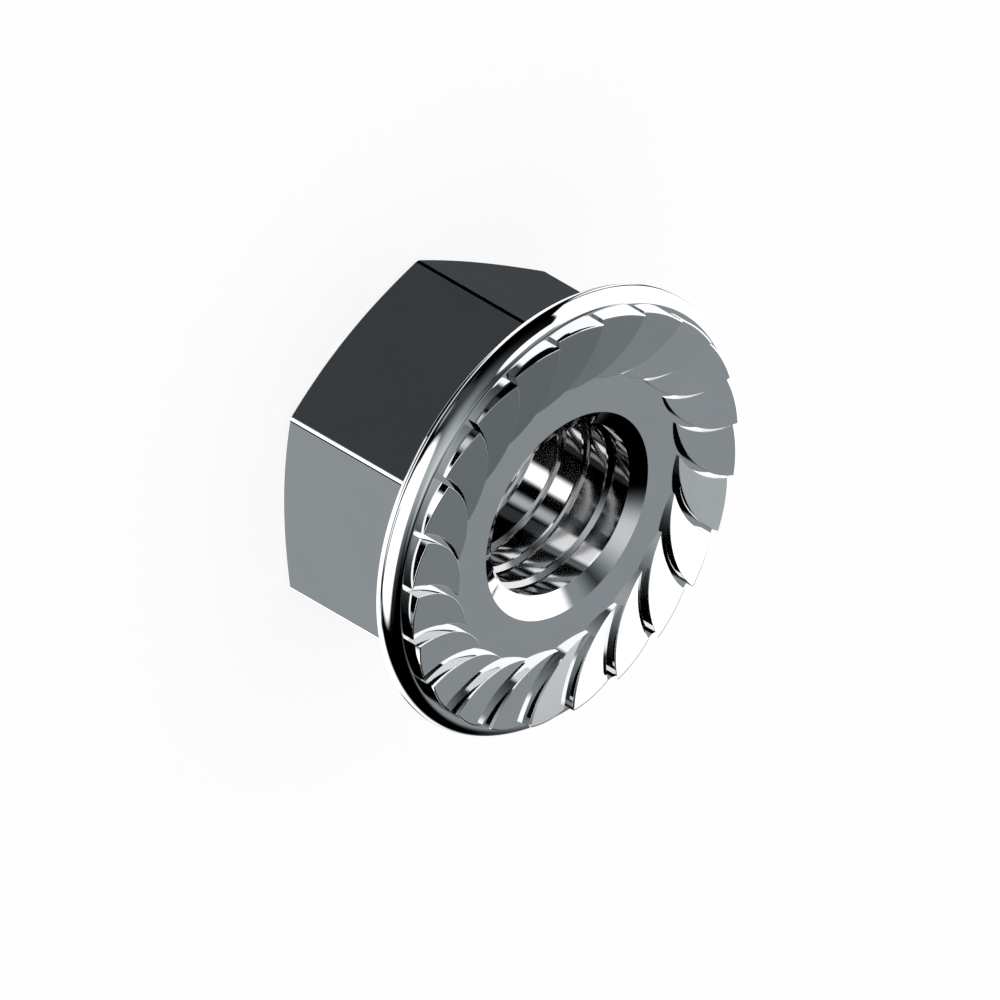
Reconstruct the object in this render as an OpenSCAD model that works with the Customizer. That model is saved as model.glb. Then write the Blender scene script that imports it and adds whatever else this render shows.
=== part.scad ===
// Hexagon nut with a round flange and a serrated bearing face.
// The nut stands on the end face of its hexagon, +Z along the thread axis towards the serrations.
// The origin is the centre of the hexagon's end face. All lengths are in millimetres.

/* [Thread] */
// Nominal diameter of the thread
thread_d = 8; // [7.5:0.1:8.5]
// Rise of the thread in one turn
thread_pitch = 1.25; // [0.75:0.25:1.5]
// How much wider than the thread the countersunk mouth of the bore is
mouth_allowance = 0.25; // [0.1:0.05:0.6]
// Angle between opposite sides of the countersink
mouth_angle = 120; // [90:5:120]

/* [Hexagon] */
// Width across the flats
across_flats = 13; // [12:0.1:14]
// Height from the hexagon's end face to the flat of the bearing face
nut_h = 8; // [7:0.1:10]
// Distance from the round end face to the flats of the hexagon
end_land = 0.25; // [0.1:0.05:0.5]
// Slope of the conical chamfer that rounds off the six end corners
end_slope = 18; // [15:1:30]

/* [Flange] */
// Diameter of the flange over its rounded edge
flange_d = 17.7; // [17:0.1:19]
// Thickness of the fully rounded edge
flange_edge_h = 1.2; // [0.8:0.05:1.4]
// Slope of the flange's conical back
flange_back_slope = 22; // [15:1:28]

/* [Serrations] */
// Number of ratchet teeth round the bearing face
teeth = 23; // [18:1:28]
// Height of the tooth tips above the flat of the bearing face
tooth_h = 0.57; // [0.3:0.01:0.8]
// Height left at the low end of each ramp, at the rim
heel_h = 0.28; // [0.1:0.01:0.3]
// Height left at the inner point of each tooth
root_h = 0.08; // [0.02:0.01:0.12]
// Distance of the tooth tips from the start of the rounded edge
tooth_setback = 0.07; // [0.02:0.01:0.3]
// Radius of the circle that the curved risers just touch on their inner side
tooth_inner_r = 5.6; // [5.2:0.05:6]
// Radius of each curved riser, seen along the axis
riser_r = 3.6; // [3:0.1:4.2]
// Radius of the outer face of each tooth, seen along the axis
tooth_back_r = 4.5; // [4:0.1:7]
// Width of the gap between a tooth and the riser of the next one
gap_w = 0.22; // [0.12:0.01:0.32]
// Turn of the first tooth tip from a corner of the hexagon
tooth_phase = 9; // [0:0.5:20]

/* [Hidden] */
$fn = 128;

// Depth of thread per unit of pitch on the two sides together, for a 60 degree thread
thread_depth_ratio = 1.0825;
bore_r = (thread_d - thread_depth_ratio * thread_pitch) / 2;
mouth_r = (thread_d + mouth_allowance) / 2;
mouth_depth = (mouth_r - bore_r) / tan(mouth_angle / 2);

// The rounded edge and the two planes that it joins
edge_r = flange_edge_h / 2;
edge_centre_r = flange_d / 2 - edge_r;
edge_centre_z = nut_h - edge_r;

// A cut runs past the face that it meets by this much
over = 0.4;
// Every tooth goes on below the bearing face by this much
tooth_sink = 0.1;

// Plan of one tooth: its tip is on the X axis and the teeth follow anticlockwise.
tip_r = edge_centre_r - tooth_setback;
tooth_angle = 360 / teeth;
riser_centre_r = tooth_inner_r + riser_r;
// Angle at the nut's axis between the riser's centre and its point at radius r
function riser_angle(r) =
    acos((r * r + riser_centre_r * riser_centre_r - riser_r * riser_r) / (2 * r * riser_centre_r));
riser_sweep = riser_angle(tip_r);
riser_centre = riser_centre_r * [cos(riser_sweep), sin(riser_sweep)];

// The gap follows the next riser at a constant width, and the tooth ends where its own riser meets the gap.
next_centre = riser_centre_r * [cos(riser_sweep + tooth_angle), sin(riser_sweep + tooth_angle)];
gap_r = riser_r + gap_w;
centre_step = norm(next_centre - riser_centre);
centre_dir = (next_centre - riser_centre) / centre_step;
root_along = (riser_r * riser_r - gap_r * gap_r + centre_step * centre_step) / (2 * centre_step);
root_aside = sqrt(riser_r * riser_r - root_along * root_along);
tooth_root = riser_centre + root_along * centre_dir + root_aside * [-centre_dir[1], centre_dir[0]];
heel_angle = tooth_angle - asin(gap_w / tip_r);

// The ramp is the plane through the tip, the heel and the tooth's inner point.
ramp_tip = [tip_r, 0, tooth_h];
ramp_heel = [tip_r * cos(heel_angle), tip_r * sin(heel_angle), heel_h];
ramp_root = [tooth_root[0], tooth_root[1], root_h];
ramp_up = cross(ramp_heel - ramp_tip, ramp_root - ramp_tip);
ramp_tilt = acos(ramp_up[2] / norm(ramp_up));
ramp_heading = atan2(ramp_up[1], ramp_up[0]);

// The tooth's outer face is an arc from the tip to the same radius one tooth on.
back_centre_r = tip_r * cos(tooth_angle / 2)
    - sqrt(tooth_back_r * tooth_back_r - pow(tip_r * sin(tooth_angle / 2), 2));

// Hexagonal prism with its end corners turned off to a shallow cone
module hexagon() {
    end_r = across_flats / 2 - end_land;
    intersection() {
        cylinder(h = edge_centre_z, r = across_flats / 2 / cos(30), $fn = 6);
        cylinder(h = nut_h, r1 = end_r, r2 = end_r + nut_h / tan(end_slope));
    }
}

// Round flange: flat bearing face, fully rounded edge and conical back
module flange() {
    back_r = edge_centre_r + edge_r * sin(flange_back_slope);
    back_z = edge_centre_z - edge_r * cos(flange_back_slope);
    rotate_extrude() {
        translate([edge_centre_r, edge_centre_z]) circle(r = edge_r);
        polygon([
            [0, nut_h],
            [edge_centre_r, nut_h],
            [edge_centre_r, edge_centre_z],
            [back_r, back_z],
            [0, back_z - back_r * tan(flange_back_slope)],
        ]);
    }
}

// Upright cylinder that bounds a tooth in plan, from just inside the flange to above the tips
module tooth_bound(r) {
    translate([0, 0, -tooth_sink]) cylinder(h = tooth_sink + tooth_h + over, r = r);
}

// Everything below the tooth's ramp
module below_ramp() {
    reach = flange_d;
    translate(ramp_tip) rotate([0, ramp_tilt, ramp_heading])
        translate([-reach, -reach, -2 * reach]) cube(2 * reach);
}

// One ratchet tooth: a planar ramp, a curved riser and a gap that frees it from the next riser
module tooth() {
    difference() {
        intersection() {
            below_ramp();
            translate(riser_centre) tooth_bound(riser_r);
            rotate(tooth_angle / 2) translate([back_centre_r, 0]) tooth_bound(tooth_back_r);
        }
        translate(next_centre) tooth_bound(gap_r);
    }
}

// Ring of teeth on the bearing face
module serrations() {
    for (i = [0 : teeth - 1])
        rotate([0, 0, tooth_phase + i * tooth_angle]) translate([0, 0, nut_h]) tooth();
}

// Bore at the thread's minor diameter, countersunk at both ends
module bore() {
    mouth_slope = tan(mouth_angle / 2);
    translate([0, 0, -over]) cylinder(h = nut_h + 2 * over, r = bore_r);
    for (end = [0, 1])
        translate([0, 0, end * nut_h]) mirror([0, 0, end])
            translate([0, 0, -over])
                cylinder(
                    h = mouth_depth + over,
                    r1 = mouth_r + over * mouth_slope,
                    r2 = bore_r
                );
}

// The whole nut
module flange_nut() {
    color("silver") difference() {
        union() {
            hexagon();
            flange();
            serrations();
        }
        bore();
    }
}

flange_nut();
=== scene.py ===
"""Looks of the flange nut: bright plated steel on a pale floor, in a studio that it reflects.

The nut's mesh is worked out in millimetres and the scene is in metres, both in the CAD frame.
A shape is a list of faces, a face is a list of corners, and a corner is a point and its normal.
"""

import itertools
import math

import bpy
import numpy as np
from mathutils import Matrix, Vector


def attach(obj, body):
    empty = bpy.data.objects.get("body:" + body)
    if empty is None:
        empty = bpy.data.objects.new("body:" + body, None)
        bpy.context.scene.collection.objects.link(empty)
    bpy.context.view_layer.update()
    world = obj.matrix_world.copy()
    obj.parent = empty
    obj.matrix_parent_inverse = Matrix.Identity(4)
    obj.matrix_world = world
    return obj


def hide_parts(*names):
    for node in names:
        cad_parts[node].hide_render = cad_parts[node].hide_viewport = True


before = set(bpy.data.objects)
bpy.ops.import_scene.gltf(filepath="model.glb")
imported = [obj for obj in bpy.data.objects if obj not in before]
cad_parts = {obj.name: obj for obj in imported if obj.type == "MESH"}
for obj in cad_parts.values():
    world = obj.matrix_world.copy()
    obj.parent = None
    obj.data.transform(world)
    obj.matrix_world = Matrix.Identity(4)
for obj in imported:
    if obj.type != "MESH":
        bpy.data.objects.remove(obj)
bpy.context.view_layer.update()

MM = 0.001
TURN = 2 * math.pi
WHITE = (1, 1, 1, 1)

# Camera, with angles in degrees
PICTURE_W = 1000
PIXEL = 0.03596 * MM
# how far the bearing face's middle is from the picture's, in pixels
FACE_RIGHT, FACE_DOWN = 67, 16.5
CAMERA_AZIMUTH = -15
CAMERA_ELEVATION = 35.2644
CAMERA_DISTANCE = 60 * MM

# Metal, with scales per metre
STEEL_COLOURS = (0.795, 0.8, 0.805, 1), (0.825, 0.83, 0.835, 1)
STEEL_ROUGHNESS = (0.03, 0.06)
CLOUDS = 400
GRAIN = 3000
GRAIN_STRENGTH = 0.01
GRAIN_DEPTH = 0.01 * MM
# the tapped thread is duller than the rest, and its colour is painted darker, as shade in the bore
THREAD_DULLNESS = 0.02
THREAD_SHADE_COLOUR = (0.56, 0.56, 0.565, 1)

# Sizes of the nut in millimetres, as in the part's source
THREAD_D = 8.0
PITCH = 1.25
BORE_R = (THREAD_D - 1.0825 * PITCH) / 2
MOUTH_R = (THREAD_D + 0.25) / 2
MOUTH_SLOPE = math.tan(math.radians(60))
FLAT_R = 6.5
NUT_H = 8.0
END_R = FLAT_R - 0.25
END_ANGLE = math.radians(18)
FLANGE_R = 17.7 / 2
EDGE_R = 0.6
EDGE_CENTRE_R = FLANGE_R - EDGE_R
BACK_ANGLE = math.radians(22)
TEETH = 23
TOOTH_STEP = TURN / TEETH
TOOTH_PHASE = math.radians(9)
TOOTH_H = 0.57
HEEL_H = 0.28
ROOT_H = 0.08
TIP_R = EDGE_CENTRE_R - 0.07
TOOTH_INNER_R = 5.6
RISER_R = 3.6
TOOTH_BACK_R = 4.5
GAP_W = 0.22
GAP_R = RISER_R + GAP_W

# Sizes of what the source leaves out, in millimetres
# a hair less than the flange, to stay inside the facets of its solid
EDGE_OUT_R = FLANGE_R - 0.0005
# above its widest line the flange's edge is a quarter of an ellipse of this width
EDGE_TOP_WIDTH = 0.47
EDGE_TOP_R = EDGE_OUT_R - EDGE_TOP_WIDTH
# a ring of points on the flange's back, between its edge and the neck
BACK_RING_R = 8.3
HEX_CORNER = 0.2
HEX_EDGE = 0.03
NECK = 0.18
# a tooth's edges are rounded by ROUND, or by this share of the ramp's height where it is less
ROUND = 0.014
ROUND_SHARE = 0.06
# the outer edges are worn wider, which draws their fine dark line
OUTER_ROUND = 0.065
GROOVE_DEPTH = 0.2
CREST_LAND = 0.08
FLANK_ANGLE = math.radians(30)
ROOT_HOLLOW = 0.002
GROOVE_HALF = (PITCH - CREST_LAND) / 2
ROOT_HALF = GROOVE_HALF - GROOVE_DEPTH * math.tan(FLANK_ANGLE)
# height of the middle of a groove on the +X side
THREAD_START = 0.362

# Fineness of the nut's mesh, with the distance in millimetres under which points are one
WELD = 0.0002
ROUND_STEPS = 4
RISER_STEPS, GAP_STEPS, OUTER_STEPS = 26, 22, 10
CORNER_STEPS, SIDE_STEPS = 6, 24
NECK_STEPS, HEX_EDGE_STEPS = 6, 4
ROOT_STEPS = 8
EDGE_ROWS = 30
# columns of the flange's edge and of the bore for each tooth
EDGE_COLUMNS, MOUTH_COLUMNS = 12, 8
BORE_COLUMNS = MOUTH_COLUMNS * TEETH

# Floor, with its size in metres
FLOOR_HALF = 1.0
FLOOR_DROP = 0.01 * MM
FLOOR_COLOURS = (0.965, 0.965, 0.965, 1), (0.975, 0.975, 0.975, 1)
FLOOR_ROUGHNESS = 0.9
FLOOR_GRAIN = 40
FLOOR_WHITE_SHARE = 0.82

# Studio, with its radius in metres. A brightness of 1 is white.
STUDIO_RADIUS = 1.0
STUDIO_COLUMNS, STUDIO_ROWS = 720, 360
GREY_TINT = (0.86, 0.975, 1.035, 1)
KEY_STRENGTH = 1.45
BELT_STRENGTH = 2.3
CEILING_GREY = 0.7
HALO_GREY = 0.3
SIDE_WALL_GREY = 0.57
BACK_WALL_GREY = 0.31
SKIRT_GREY = 0.06


# Camera

def direction(azimuth, elevation):
    """Unit vector at these angles, in degrees, azimuth from +X towards +Y."""
    a, e = math.radians(azimuth), math.radians(elevation)
    return Vector((math.cos(a) * math.cos(e), math.sin(a) * math.cos(e), math.sin(e)))


def make_camera():
    """Parallel view on the bearing face, rolled so that the bore's axis falls to the right."""
    back = direction(CAMERA_AZIMUTH, CAMERA_ELEVATION)
    front = direction(CAMERA_AZIMUTH, 0)
    side = direction(CAMERA_AZIMUTH - 90, 0)
    axis = Vector((0, 0, 1))
    right = side / 2 - front / 2 + axis / math.sqrt(2)
    up = side * math.sqrt(3) / 2 + front / math.sqrt(12) - axis / math.sqrt(6)
    data = bpy.data.cameras.new("camera")
    data.type = "ORTHO"
    data.ortho_scale = PICTURE_W * PIXEL
    data.clip_start = 1 * MM
    data.clip_end = 1
    camera = bpy.data.objects.new("camera", data)
    bpy.context.scene.collection.objects.link(camera)
    middle = axis * NUT_H * MM - right * FACE_RIGHT * PIXEL + up * FACE_DOWN * PIXEL
    camera.location = middle + back * CAMERA_DISTANCE
    camera.rotation_mode = "QUATERNION"
    camera.rotation_quaternion = Matrix((right, up, back)).transposed().to_quaternion()
    bpy.context.scene.camera = camera


# Materials

def fill_inputs(tree, target, inputs):
    """Sets a node's inputs to values, or links them to the outputs of other nodes."""
    for name, value in inputs.items():
        if isinstance(value, bpy.types.NodeSocket):
            tree.links.new(value, target.inputs[name])
        else:
            target.inputs[name].default_value = value


def node(tree, kind, inputs, **settings):
    """A new shader node with these settings and inputs."""
    new = tree.nodes.new("ShaderNode" + kind)
    for name, value in settings.items():
        setattr(new, name, value)
    fill_inputs(tree, new, inputs)
    return new


def mixed(tree, factor, low, high):
    """Colour between two others."""
    inputs = {"Factor": factor, "A": low, "B": high}
    return node(tree, "Mix", inputs, data_type="RGBA").outputs["Result"]


def noise(tree, scale, detail=2):
    """Cloudy pattern in the object's own coordinates."""
    where = node(tree, "TexCoord", {}).outputs["Object"]
    inputs = {"Vector": where, "Scale": scale, "Detail": detail}
    return node(tree, "TexNoise", inputs).outputs["Fac"]


def spread(tree, value, low, high):
    """Stretches the middle of a noise's range to run from low to high."""
    inputs = {"Value": value, "From Min": 0.3, "From Max": 0.7, "To Min": low, "To Max": high}
    return node(tree, "MapRange", inputs).outputs["Result"]


def new_material(name):
    """A material with its node tree and its Principled BSDF."""
    material = bpy.data.materials.new(name)
    material.use_nodes = True
    return material, material.node_tree, material.node_tree.nodes["Principled BSDF"]


def steel():
    """Bright plated steel with uneven colour and gloss and a very fine grain, duller on the
    thread, whose colour is painted darker there as shade in the bore.
    """
    material, tree, surface = new_material("bright_steel")
    thread = node(tree, "Attribute", {}, attribute_name="thread").outputs["Fac"]
    plated = mixed(tree, spread(tree, noise(tree, CLOUDS, 3), 0, 1), *STEEL_COLOURS)
    gloss = spread(tree, noise(tree, 2 * CLOUDS, 4), *STEEL_ROUGHNESS)
    duller = {0: thread, 1: THREAD_DULLNESS, 2: gloss}
    grain = {
        "Height": noise(tree, GRAIN),
        "Strength": GRAIN_STRENGTH,
        "Distance": GRAIN_DEPTH,
    }
    fill_inputs(tree, surface, {
        "Metallic": 1,
        # painted shade: the thread's colour is darker, to darken the bore
        "Base Color": mixed(tree, thread, plated, THREAD_SHADE_COLOUR),
        "Roughness": node(tree, "Math", duller, operation="MULTIPLY_ADD").outputs["Value"],
        "Normal": node(tree, "Bump", grain).outputs["Normal"],
    })
    return material


def pale_floor():
    """Pale matt floor. Most of what the camera sees of it is white, so its shadow is weak."""
    material, tree, surface = new_material("floor")
    fill_inputs(tree, surface, {
        "Base Color": mixed(tree, noise(tree, FLOOR_GRAIN), *FLOOR_COLOURS),
        "Roughness": FLOOR_ROUGHNESS,
        "Specular IOR Level": 0,
    })
    seen = node(tree, "LightPath", {}).outputs["Is Camera Ray"]
    share = node(tree, "Math", {0: seen, 1: FLOOR_WHITE_SHARE}, operation="MULTIPLY")
    white = node(tree, "Emission", {})
    mix = node(tree, "MixShader", {
        0: share.outputs["Value"],
        1: surface.outputs["BSDF"],
        2: white.outputs["Emission"],
    })
    fill_inputs(tree, tree.nodes["Material Output"], {"Surface": mix.outputs["Shader"]})
    material.cycles.emission_sampling = "NONE"
    return material


def studio_walls():
    """Shines as brightly as the studio's points say, with greys that are a little cool."""
    material, tree, surface = new_material("studio")
    tree.nodes.remove(surface)
    glow = node(tree, "Attribute", {}, attribute_name="glow").outputs["Fac"]
    colour = mixed(tree, glow, GREY_TINT, WHITE)
    light = node(tree, "Emission", {"Color": colour, "Strength": glow})
    fill_inputs(tree, tree.nodes["Material Output"], {"Surface": light.outputs["Emission"]})
    material.cycles.emission_sampling = "NONE"
    return material


# Geometry

def polar(r, a):
    """The point in plan at this radius and azimuth."""
    return np.array([r * math.cos(a), r * math.sin(a)])


def turned(v, a):
    """A point or a direction, in plan or in space, turned round the Z axis."""
    c, s = math.cos(a), math.sin(a)
    return np.array([c * v[0] - s * v[1], s * v[0] + c * v[1], *v[2:]])


def lifted(p, z):
    """A point in plan, put at height z."""
    return np.array([p[0], p[1], z])


def unit(v):
    """The same direction at length 1."""
    return v / np.linalg.norm(v)


def meet(c1, r1, c2, r2, near):
    """The point where two circles meet that is nearer to a given one."""
    d = np.linalg.norm(c2 - c1)
    direct = (c2 - c1) / d
    along = (r1 * r1 - r2 * r2 + d * d) / (2 * d)
    aside = math.sqrt(r1 * r1 - along * along) * np.array([-direct[1], direct[0]])
    foot = c1 + along * direct
    return min((foot + aside, foot - aside), key=lambda p: np.linalg.norm(p - near))


def arc(centre, start, end, steps):
    """Points on a circle from start to end, the short way, both ends included."""
    a0, a1 = (math.atan2(p[1] - centre[1], p[0] - centre[0]) for p in (start, end))
    r = np.linalg.norm(start - centre)
    sweep = (a1 - a0 + math.pi) % TURN - math.pi
    inner = [centre + polar(r, a0 + sweep * i / steps) for i in range(1, steps)]
    return [start, *inner, end]


def level(points, z, up):
    """Corners at height z over points in plan, with normals straight up, 1, or down, -1."""
    return [(lifted(p, z), np.array([0.0, 0.0, up])) for p in points]


def strip(a, b, closed=True):
    """Quads between two rows with as many corners each."""
    return [[a[i - 1], a[i], b[i], b[i - 1]] for i in range(0 if closed else 1, len(a))]


def zipper(a, b):
    """Triangles between two closed rows that go anticlockwise round the Z axis, of any counts."""
    def azimuth(corner):
        return math.atan2(corner[0][1], corner[0][0]) % TURN

    def from_first(row):
        first = min(range(len(row)), key=lambda i: azimuth(row[i]))
        row = row[first:] + row[:first]
        return row, [*map(azimuth, row), azimuth(row[0]) + TURN]

    (a, azimuths_a), (b, azimuths_b) = from_first(a), from_first(b)
    faces = []
    i = j = 0
    while i < len(a) or j < len(b):
        x, y = i % len(a), j % len(b)
        if j >= len(b) or (i < len(a) and azimuths_a[i + 1] <= azimuths_b[j + 1]):
            i += 1
            faces.append([a[x], a[i % len(a)], b[y]])
        else:
            j += 1
            faces.append([a[x], b[j % len(b)], b[y]])
    return faces


# Ratchet teeth

class Wall:
    """One of a tooth's three walls: an arc in plan, and how far the edge above it is rounded."""

    def __init__(self, centre, start, end, steps, side, rounding):
        self.line = arc(centre, start, end, steps)
        self.centre, self.side, self.rounding = centre, side, rounding

    def out(self, p):
        """Direction in plan in which the wall faces at a point, away from the tooth."""
        return self.side * unit(p - self.centre)


class Tooth:
    """One ratchet tooth with its tip on the +X side."""

    def __init__(self):
        circle_r, half = TOOTH_INNER_R + RISER_R, TOOTH_STEP / 2
        cosine = (TIP_R ** 2 + circle_r ** 2 - RISER_R ** 2) / (2 * TIP_R * circle_r)
        sweep = math.acos(cosine)
        reach = math.sqrt(TOOTH_BACK_R ** 2 - (TIP_R * math.sin(half)) ** 2)
        self.riser_centre = polar(circle_r, sweep)
        self.gap_centre = polar(circle_r, sweep + TOOTH_STEP)
        self.back_centre = polar(TIP_R * math.cos(half) - reach, half)
        self.tip = polar(TIP_R, 0)
        self.root = meet(self.riser_centre, RISER_R, self.gap_centre, GAP_R, np.zeros(2))
        heel = polar(TIP_R, TOOTH_STEP - math.asin(GAP_W / TIP_R))
        self.heel = meet(self.back_centre, TOOTH_BACK_R, self.gap_centre, GAP_R, heel)
        top = lifted(self.tip, TOOTH_H)
        to_heel, to_root = lifted(heel, HEEL_H) - top, lifted(self.root, ROOT_H) - top
        self.ramp_normal = unit(np.cross(to_heel, to_root))
        self.walls = (
            Wall(self.riser_centre, self.tip, self.root, RISER_STEPS, 1, ROUND),
            Wall(self.gap_centre, self.root, self.heel, GAP_STEPS, -1, ROUND),
            Wall(self.back_centre, self.heel, self.tip, OUTER_STEPS, 1, OUTER_ROUND),
        )

    def ramp(self, p):
        """Height of the ramp above the flat of the bearing face."""
        n = self.ramp_normal
        return TOOTH_H - (n[0] * (p[0] - TIP_R) + n[1] * p[1]) / n[2]

    def rounding(self, p):
        """How far the edges are rounded at a point, apart from the outer one's extra width."""
        return min(ROUND, ROUND_SHARE * self.ramp(p))

    def corners(self, inward):
        """Tip, root and heel where the walls are moved inward by this share of their roundings."""
        plain = ROUND * inward
        faded = self.rounding(self.root) * inward
        back_r = TOOTH_BACK_R - OUTER_ROUND * inward
        return (
            meet(self.riser_centre, RISER_R - plain, self.back_centre, back_r, self.tip),
            meet(self.riser_centre, RISER_R - faded, self.gap_centre, GAP_R + faded, self.root),
            meet(self.gap_centre, GAP_R + plain, self.back_centre, back_r, self.heel),
        )

    def rows(self, step):
        """Rows of corners along the walls at one step of the rounding, from the ramp down."""
        angle = math.pi / 2 * step / ROUND_STEPS
        sine, cosine = math.sin(angle), math.cos(angle)
        inward, drop = 1 - sine, 1 - cosine
        ends = self.corners(inward)
        rows = []
        for i, wall in enumerate(self.walls):
            shift = wall.rounding / ROUND * inward
            places = [p - wall.out(p) * self.rounding(p) * shift for p in wall.line]
            places[0], places[-1] = ends[i], ends[(i + 1) % 3]
            row = []
            for p, place in zip(wall.line, places):
                z = NUT_H + self.ramp(place) - self.rounding(p) * drop
                normal = sine * lifted(wall.out(p), 0) + cosine * self.ramp_normal
                row.append((lifted(place, z), unit(normal)))
            rows.append(row)
        return rows

    def own_faces(self):
        """The tooth itself: rounded edges, walls and ramp."""
        steps = [self.rows(step) for step in range(ROUND_STEPS + 1)]
        faces = []
        for upper, lower in zip(steps, steps[1:]):
            for a, b in zip(upper, lower):
                faces += strip(a, b, closed=False)
        for wall, edge in zip(self.walls, steps[-1]):
            outs = [lifted(wall.out(p), 0) for p in wall.line]
            top = [(p, out) for (p, _), out in zip(edge, outs)]
            foot = [(lifted(p, NUT_H), out) for p, out in zip(wall.line, outs)]
            faces += strip(top, foot, closed=False)
        faces.append([(p, self.ramp_normal) for row in steps[0] for p, _ in row[:-1]])
        return faces

    def flat_faces(self):
        """The flat of the bearing face outside the tooth, and that in its gap and inside it."""
        riser, gap, outer = (wall.line for wall in self.walls)
        columns = range(EDGE_COLUMNS, -1, -1)
        rim = [polar(EDGE_TOP_R, TOOTH_STEP * i / EDGE_COLUMNS) for i in columns]
        outside = [*reversed(outer), turned(self.tip, TOOTH_STEP), *rim]
        root_turns = (TOOTH_PHASE + math.atan2(self.root[1], self.root[0])) / TURN
        first = round(root_turns * BORE_COLUMNS)
        columns = range(first + MOUTH_COLUMNS, first - 1, -1)
        mouth = [polar(MOUTH_R, TURN * i / BORE_COLUMNS - TOOTH_PHASE) for i in columns]
        inside = [*gap, *(turned(p, TOOTH_STEP) for p in riser), *mouth]
        return [level(outside, NUT_H, 1), level(inside, NUT_H, 1)]


def bearing_face():
    """Ring of ratchet teeth and the flat that they stand on."""
    tooth = Tooth()
    pattern = tooth.own_faces() + tooth.flat_faces()
    azimuths = [TOOTH_PHASE + i * TOOTH_STEP for i in range(TEETH)]
    return [[(turned(p, a), turned(n, a)) for p, n in face] for a in azimuths for face in pattern]


# Flange and hexagon

def flange_edge():
    """Rounded edge of the flange, and the row where it meets the back."""
    lowest = BACK_ANGLE - math.pi / 2
    columns = TEETH * EDGE_COLUMNS
    azimuths = [TOOTH_PHASE + TURN * i / columns for i in range(columns)]
    rows = []
    for k in range(EDGE_ROWS + 1):
        t = math.pi / 2 + (lowest - math.pi / 2) * k / EDGE_ROWS
        wide = EDGE_TOP_WIDTH if t > 0 else EDGE_R
        r, z = EDGE_OUT_R - wide + wide * math.cos(t), NUT_H - EDGE_R + EDGE_R * math.sin(t)
        out, rise = unit(np.array([math.cos(t) / wide, math.sin(t) / EDGE_R]))
        rows.append([(lifted(polar(r, a), z), lifted(polar(out, a), rise)) for a in azimuths])
    faces = [face for a, b in zip(rows, rows[1:]) for face in strip(a, b)]
    return faces, rows[-1]


def hexagon_line():
    """Points of the hexagon with rounded corners and their outward directions, all in plan."""
    corner_r = (FLAT_R - HEX_CORNER) / math.cos(math.pi / 6)
    points, outs = [], []
    for a in (i * math.pi / 3 for i in range(6)):
        for i in range(CORNER_STEPS + 1):
            share = 2 * i / CORNER_STEPS - 1
            points.append(polar(corner_r, a) + polar(HEX_CORNER, a + share * math.pi / 6))
            # the cube keeps most of a corner near one direction, as a small bevel has
            outs.append(polar(1, a + share ** 3 * math.pi / 6))
        out = polar(1, a + math.pi / 6)
        start, end = points[-1], polar(corner_r, a + math.pi / 3) + out * HEX_CORNER
        points += [start + (end - start) * i / SIDE_STEPS for i in range(1, SIDE_STEPS)]
        outs += [out] * (SIDE_STEPS - 1)
    return points, outs


def cone_normal(p, angle):
    """Normal, at a point in plan, of a cone that faces down and outwards."""
    return lifted(unit(p) * math.sin(angle), -math.cos(angle))


def back_height(p):
    """Height of the flange's conical back at a point in plan."""
    back_r = EDGE_CENTRE_R + EDGE_R * math.sin(BACK_ANGLE)
    back_z = NUT_H - EDGE_R - EDGE_R * math.cos(BACK_ANGLE)
    return back_z - (back_r - np.linalg.norm(p)) * math.tan(BACK_ANGLE)


def end_height(p):
    """Height of the conical chamfer at the hexagon's end at a point in plan."""
    return (np.linalg.norm(p) - END_R) * math.tan(END_ANGLE)


def cone_corner(p, height, angle):
    """Corner on the flange's back or on the end's chamfer above a point in plan."""
    return lifted(p, height(p)), cone_normal(p, angle)


def bend(sharp, out, rise, end, steps):
    """Corners of a rounding of the sharp edge between the hexagon's side and a cone.

    It starts on the side, which faces out, at this height above the edge and ends on the cone.
    """
    first, first_normal = sharp + np.array([0, 0, rise]), lifted(out, 0)
    last, last_normal = end
    corners = []
    for t in (k / steps for k in range(steps + 1)):
        point = (1 - t) ** 2 * first + 2 * t * (1 - t) * sharp + t * t * last
        corners.append((point, unit(first_normal * (1 - t) + last_normal * t)))
    return corners


def hexagon_rows():
    """Rows of corners from the hexagon's side up to the neck's end, and down to the chamfer."""
    necks, edges = [], []
    for p, out in zip(*hexagon_line()):
        neck_end = cone_corner(p + out * NECK, back_height, BACK_ANGLE)
        edge_end = cone_corner(p - out * HEX_EDGE, end_height, END_ANGLE)
        necks.append(bend(lifted(p, back_height(p)), out, -NECK, neck_end, NECK_STEPS))
        edges.append(bend(lifted(p, end_height(p)), out, HEX_EDGE, edge_end, HEX_EDGE_STEPS))
    return [list(row) for row in zip(*necks)], [list(row) for row in zip(*edges)]


def hexagon(flange_row):
    """Hexagon with its neck, the flange's back, the end's chamfer and the end face."""
    necks, edges = hexagon_rows()
    faces = strip(necks[0], edges[0])
    for a, b in (*zip(necks, necks[1:]), *zip(edges, edges[1:])):
        faces += strip(a, b)
    ring = [unit(p[:2]) * BACK_RING_R for p, _ in necks[-1]]
    ring = [cone_corner(p, back_height, BACK_ANGLE) for p in ring]
    faces += strip(necks[-1], ring) + zipper(flange_row, ring)
    circle = [unit(p[:2]) * END_R for p, _ in edges[-1]]
    faces += strip(edges[-1], [(lifted(p, 0), cone_normal(p, END_ANGLE)) for p in circle])
    mouth = [polar(MOUTH_R, TURN * i / BORE_COLUMNS) for i in range(BORE_COLUMNS)]
    return faces + zipper(level(circle, 0, -1), level(mouth, 0, -1))


# Threaded bore

def groove_profile():
    """One groove of the thread: distance along the axis from its middle, and radius."""
    shares = [2 * i / ROOT_STEPS - 1 for i in range(ROOT_STEPS + 1)]
    root_r = BORE_R + GROOVE_DEPTH
    root = [(t * ROOT_HALF, root_r + ROOT_HOLLOW * (1 - t * t)) for t in shares]
    return [(-GROOVE_HALF, BORE_R), *root, (GROOVE_HALF, BORE_R)]


PROFILE = groove_profile()


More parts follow.
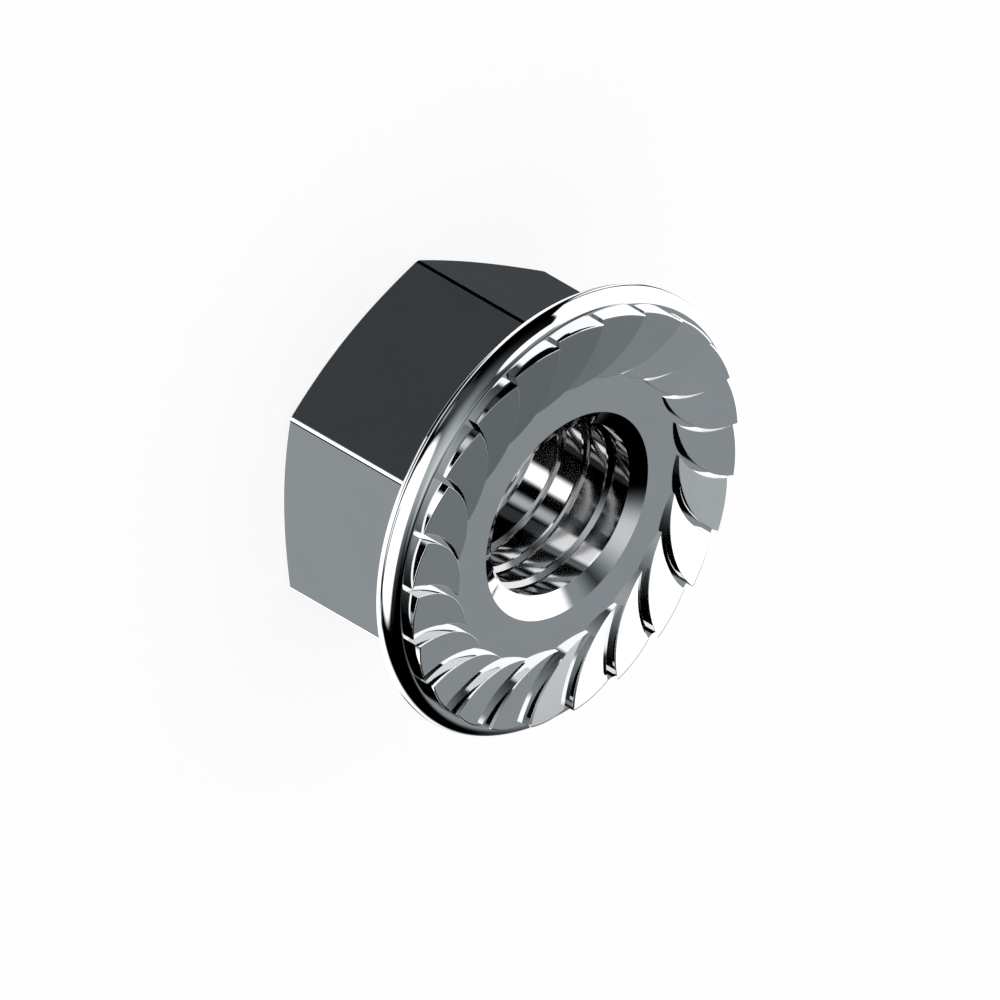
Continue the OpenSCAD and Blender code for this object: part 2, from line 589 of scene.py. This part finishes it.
def mouth_radius(end, z):
    """Radius of the countersink at the end face, 0, or the bearing face, 1, at height z."""
    return MOUTH_R - (NUT_H - z if end else z) * MOUTH_SLOPE


def thread_line(turns):
    """The thread's points at an azimuth in turns: number of groove and point, height, radius."""
    start = THREAD_START + PITCH * turns
    first = math.floor(-start / PITCH) - 1
    grooves = range(first, first + math.ceil(NUT_H / PITCH) + 3)
    return [
        ((groove, point), start + PITCH * groove + dz, r)
        for groove in grooves
        for point, (dz, r) in enumerate(PROFILE)
    ]


def bore_line(turns):
    """The bore's points at an azimuth in turns, from the end face up: label, height, radius."""
    thread = thread_line(turns)
    line = [(("end", 0), 0.0, MOUTH_R), (("end", 1), NUT_H, MOUTH_R)]
    for label, z, r in thread:
        if 0 < z < NUT_H and r > max(mouth_radius(0, z), mouth_radius(1, z)):
            line.append((label, z, r))
    for end in (0, 1):
        for (label, z0, r0), (_, z1, r1) in zip(thread, thread[1:]):
            over0, over1 = r0 - mouth_radius(end, z0), r1 - mouth_radius(end, z1)
            if over0 * over1 < 0:
                z = z0 + (z1 - z0) * over0 / (over0 - over1)
                if 0 < z < NUT_H:
                    line.append(((f"mouth{end}", label), z, mouth_radius(end, z)))
    return sorted(line, key=lambda point: point[1])


def one_turn_on(label):
    """A label of the first line as the last one would write it, after a whole turn."""
    kind, place = label
    if kind == "end":
        return label
    if isinstance(kind, str):
        return kind, (place[0] - 1, place[1])
    return kind - 1, place


def shared_marks(a, b, last):
    """Pairs of places, rising on both, of the points that two neighbouring lines share."""
    places = {one_turn_on(label) if last else label: k for k, (label, _, _) in enumerate(b)}
    marks = []
    for k, (label, _, _) in enumerate(a):
        if label in places and (not marks or places[label] > marks[-1][1]):
            marks.append((k, places[label]))
    return marks


def bore_slope(turns, z):
    """How fast the bore's radius grows with height at a place, and what is there."""
    thread = thread_line(turns)
    at = next(i for i in range(1, len(thread)) if thread[i][1] >= z)
    (label, z0, r0), (_, z1, r1) = thread[at - 1], thread[at]
    radius = r0 + (r1 - r0) * (z - z0) / (z1 - z0)
    if mouth_radius(0, z) > radius:
        return -MOUTH_SLOPE, "mouth"
    if mouth_radius(1, z) > radius:
        return MOUTH_SLOPE, "mouth"
    return (r1 - r0) / (z1 - z0), "root" if 0 < label[1] <= ROOT_STEPS else "thread"


def root_slope(z, a):
    """How fast the hollow root's radius grows with height at a point on it."""
    from_middle = (z - THREAD_START - PITCH * a / TURN + PITCH / 2) % PITCH - PITCH / 2
    share = max(-1.0, min(1.0, from_middle / ROOT_HALF))
    return -2 * ROOT_HOLLOW * share / ROOT_HALF


def bore_face(points):
    """One face of the bore from the height, radius and azimuth of its points."""
    height = min(NUT_H, max(0.0, np.mean([z for z, _, _ in points])))
    rise, kind = bore_slope(np.mean([a for _, _, a in points]) / TURN, height)
    winding = 0 if kind == "mouth" else PITCH / TURN
    face = []
    for z, r, a in points:
        if kind == "root":
            rise = root_slope(z, a)
        outward = turned(np.array([1, winding * rise / r, -rise]), a)
        face.append((lifted(polar(r, a), z), -unit(outward)))
    return face


def bore_column(left, right, marks):
    """Faces between two neighbouring lines of the bore, from mark to mark."""
    faces = []
    for (x, y), (x_end, y_end) in zip(marks, marks[1:]):
        while x < x_end or y < y_end:
            if x_end - x == 1 and y_end - y == 1:
                points = [left[x], left[x + 1], right[y + 1], right[y]]
                x, y = x + 1, y + 1
            elif y >= y_end or (x < x_end and left[x + 1][0] <= right[y + 1][0]):
                points = [left[x], left[x + 1], right[y]]
                x += 1
            else:
                points = [left[x], right[y + 1], right[y]]
                y += 1
            faces.append(bore_face(points))
    return faces


def bore():
    """Countersunk bore with a right-hand thread."""
    lines = [bore_line(i / BORE_COLUMNS) for i in range(BORE_COLUMNS)]
    faces = []
    for i, a in enumerate(lines):
        b = lines[(i + 1) % BORE_COLUMNS]
        left = [(z, r, TURN * i / BORE_COLUMNS) for _, z, r in a]
        right = [(z, r, TURN * (i + 1) / BORE_COLUMNS) for _, z, r in b]
        faces += bore_column(left, right, shared_marks(a, b, i == BORE_COLUMNS - 1))
    return faces


# The nut's mesh

def weld(faces):
    """Shared points, faces of their numbers, and a normal for each corner, all turned outwards."""
    cells, points = {}, []
    around = list(itertools.product((0, -1, 1), repeat=3))

    def number(p):
        cell = tuple(math.floor(c / WELD) for c in p)
        for step in around:
            for k in cells.get(tuple(c + s for c, s in zip(cell, step)), ()):
                if np.linalg.norm(points[k] - p) < WELD:
                    return k
        points.append(p)
        cells.setdefault(cell, []).append(len(points) - 1)
        return len(points) - 1

    polygons, normals = [], []
    for face in faces:
        ids = [number(p) for p, _ in face]
        keep = [i for i in range(len(ids)) if ids[i] != ids[i - 1]]
        if len(keep) < 3:
            continue
        ids, face_normals = [ids[i] for i in keep], [face[i][1] for i in keep]
        area = sum(np.cross(points[ids[i - 1]], points[ids[i]]) for i in range(len(ids)))
        if np.dot(area, sum(face_normals)) < 0:
            ids, face_normals = ids[::-1], face_normals[::-1]
        polygons.append(ids)
        normals += face_normals
    return points, polygons, normals


def in_thread(p):
    """Whether a point is on the thread, a little way from both countersinks, where the steel is
    duller and painted darker as shade.
    """
    deepest = BORE_R + GROOVE_DEPTH + 0.01
    mouth_depth = (MOUTH_R - BORE_R) / MOUTH_SLOPE + 0.005
    return math.hypot(p[0], p[1]) < deepest and mouth_depth < p[2] < NUT_H - mouth_depth


def make_nut():
    """The nut as one closed mesh, with a normal of its own at every corner of every face."""
    edge, flange_row = flange_edge()
    points, polygons, normals = weld(bearing_face() + edge + hexagon(flange_row) + bore())
    mesh = bpy.data.meshes.new("nut_body")
    mesh.from_pydata([tuple(p * MM) for p in points], [], polygons)
    mesh.shade_smooth()
    mesh.normals_split_custom_set([tuple(n) for n in normals])
    mesh.materials.append(steel())
    # marks the thread, which gets the duller gloss and the painted shade
    thread = mesh.attributes.new("thread", "FLOAT", "POINT")
    thread.data.foreach_set("value", [float(in_thread(p)) for p in points])
    o = bpy.data.objects.new("nut_body", mesh)
    bpy.context.scene.collection.objects.link(o)
    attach(o, "root")
    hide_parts("flange_nut")


# Floor and studio

def stage_mesh(name, points, faces, material):
    """A mesh that isn't part of the nut."""
    mesh = bpy.data.meshes.new(name)
    mesh.from_pydata(points, [], faces)
    mesh.materials.append(material)
    o = bpy.data.objects.new(name, mesh)
    bpy.context.scene.collection.objects.link(o)
    return o


def make_floor():
    """Floor just under the nut, which the metal doesn't reflect."""
    ends = ((-1, -1), (1, -1), (1, 1), (-1, 1))
    points = [(x * FLOOR_HALF, y * FLOOR_HALF, -FLOOR_DROP) for x, y in ends]
    stage_mesh("floor", points, [(0, 1, 2, 3)], pale_floor()).visible_glossy = False


def smooth(x, low, high):
    """0 below low, 1 above high and a smooth rise between, or a fall where low is above high."""
    t = min(1.0, max(0.0, (x - low) / (high - low)))
    return t * t * (3 - 2 * t)


def window(x, start, end, soft_start, soft_end):
    """1 between start and end, with soft edges that are centred on them."""
    rise = smooth(x, start - soft_start / 2, start + soft_start / 2)
    return rise * smooth(x, end + soft_end / 2, end - soft_end / 2)


def oval(a, e, middle, half, soft):
    """1 inside an oval patch of the studio, 0 outside, with a soft edge."""
    squareness = 2.2
    across, up = abs(a - middle[0]) / half[0], abs(e - middle[1]) / half[1]
    away = (across ** squareness + up ** squareness) ** (1 / squareness)
    return smooth(away, 1 + soft / min(half), 1 - soft / min(half))


def blend(low, high, share):
    """Value between two others."""
    return low + (high - low) * share


# In the next functions a and b are azimuths that are 90 at the camera and grow as the CAD
# frame's do: a runs from -180 to 180 and b from 0 to 360. The elevation is e. All are in degrees.

def grey_areas(a, e):
    """Ceiling, halo over the key light, walls and low skirt."""
    x, y = polar(math.cos(math.radians(e)), math.radians(a))
    ceiling = smooth(x, -0.5, -0.18) * smooth(x, 0.42, -0.1)
    ceiling *= smooth(y, -0.25, 0.1) * smooth(e, 50, 65)
    return max(
        CEILING_GREY * ceiling,
        HALO_GREY * window(a, -50, 20, 20, 30) * smooth(e, 74, 60) * smooth(e, 30, 40),
        SIDE_WALL_GREY * math.exp(-((a - 98) / 40) ** 2) * smooth(e, -25, 55),
        BACK_WALL_GREY * smooth(a, -116, -88) * smooth(a, -60, -70) * smooth(e, -45, -35),
        SKIRT_GREY * window(a, 60, 82, 10, 14),
    )


def key_light(a, e):
    """Large white area high up, with a round end. Its foot is lowest at one azimuth."""
    lowest_at = -45
    foot = -44 + 30 * max(0, (a - lowest_at) / 57) ** 3 + 6 * max(0, (lowest_at - a) / 35) ** 2
    notch = 6 * window(a, -14, -8, 6, 6)
    head = min(41 + 0.236 * (a + 77), 54) - notch
    long_part = window(a, -84, 12.5, 2.5, 2) * window(e, foot, head, 3, 5)
    return max(long_part, oval(a, e, middle=(18, 43), half=(23, 17), soft=2))


def low_light(b, e):
    """White area low down, highest in its middle."""
    away = b - 223
    fall = 0.0105 if away > 0 else 0.0135
    head = -17 - fall * away * away
    return smooth(e, head + 5, head - 7) * window(b, 150, 268, 10, 3)


def ground_light(a, e):
    """White ground round the foot of the studio."""
    tilt = 12 * math.cos(math.radians(a + 120))
    return smooth(e, tilt - 48, tilt - 56) * smooth(e, -74, -64)


def belt_light(a, b):
    """The narrow belt that upright walls reflect: grey panels and two white ones."""
    grey = max(
        0.054 * window(a, 52, 66, 4, 4),
        0.065 * window(a, -66, -54, 4, 4),
        0.34 * window(b, 174, 186, 3, 3),
        0.32 * window(a, -38, -30, 8, 10),
        0.7 * window(a, 72, 84, 8, 10),
    )
    white = max(window(a, -168, -122, 12, 10), window(a, 104, 124, 8, 10))
    return blend(grey, BELT_STRENGTH, white)


def studio_light(azimuth, e):
    """Brightness of the studio at an azimuth of the CAD frame and an elevation, in degrees."""
    a = (azimuth - CAMERA_AZIMUTH + 90 + 180) % 360 - 180
    b = a if a > 0 else a + 360
    far_light = oval(b, e, middle=(132, -7), half=(43, 39), soft=4)
    lights = (ground_light(a, e), key_light(a, e), low_light(b, e), far_light)
    white = 1 - math.prod(1 - light for light in lights)
    light = blend(grey_areas(a, e), KEY_STRENGTH, white)
    return blend(light, belt_light(a, b), window(e, -38, -32.5, 1.5, 1.5))


def make_studio():
    """Ball of white areas and grey walls round the nut that only its reflections show."""
    centre = Vector((0, 0, NUT_H * MM))
    points, glow, faces = [], [], []
    for j in range(STUDIO_ROWS + 1):
        elevation = 180 * j / STUDIO_ROWS - 90
        for i in range(STUDIO_COLUMNS):
            azimuth = 360 * i / STUDIO_COLUMNS
            points.append(direction(azimuth, elevation) * STUDIO_RADIUS + centre)
            glow.append(studio_light(azimuth, elevation))
    for j in range(STUDIO_ROWS):
        low, high = j * STUDIO_COLUMNS, (j + 1) * STUDIO_COLUMNS
        for i in range(STUDIO_COLUMNS):
            k = (i + 1) % STUDIO_COLUMNS
            faces.append((low + i, low + k, high + k, high + i))
    studio = stage_mesh("studio", points, faces, studio_walls())
    studio.data.attributes.new("glow", "FLOAT", "POINT").data.foreach_set("value", glow)
    for ray in ("camera", "diffuse", "shadow", "transmission"):
        setattr(studio, "visible_" + ray, False)


def make_world():
    """Plain white light of strength 1."""
    world = bpy.data.worlds.new("world")
    bpy.context.scene.world = world
    world.use_nodes = True
    background = world.node_tree.nodes["Background"]
    fill_inputs(world.node_tree, background, {"Color": WHITE, "Strength": 1})


make_camera()
make_nut()
make_floor()
make_studio()
make_world()
bpy.context.scene.view_settings.view_transform = "Standard"
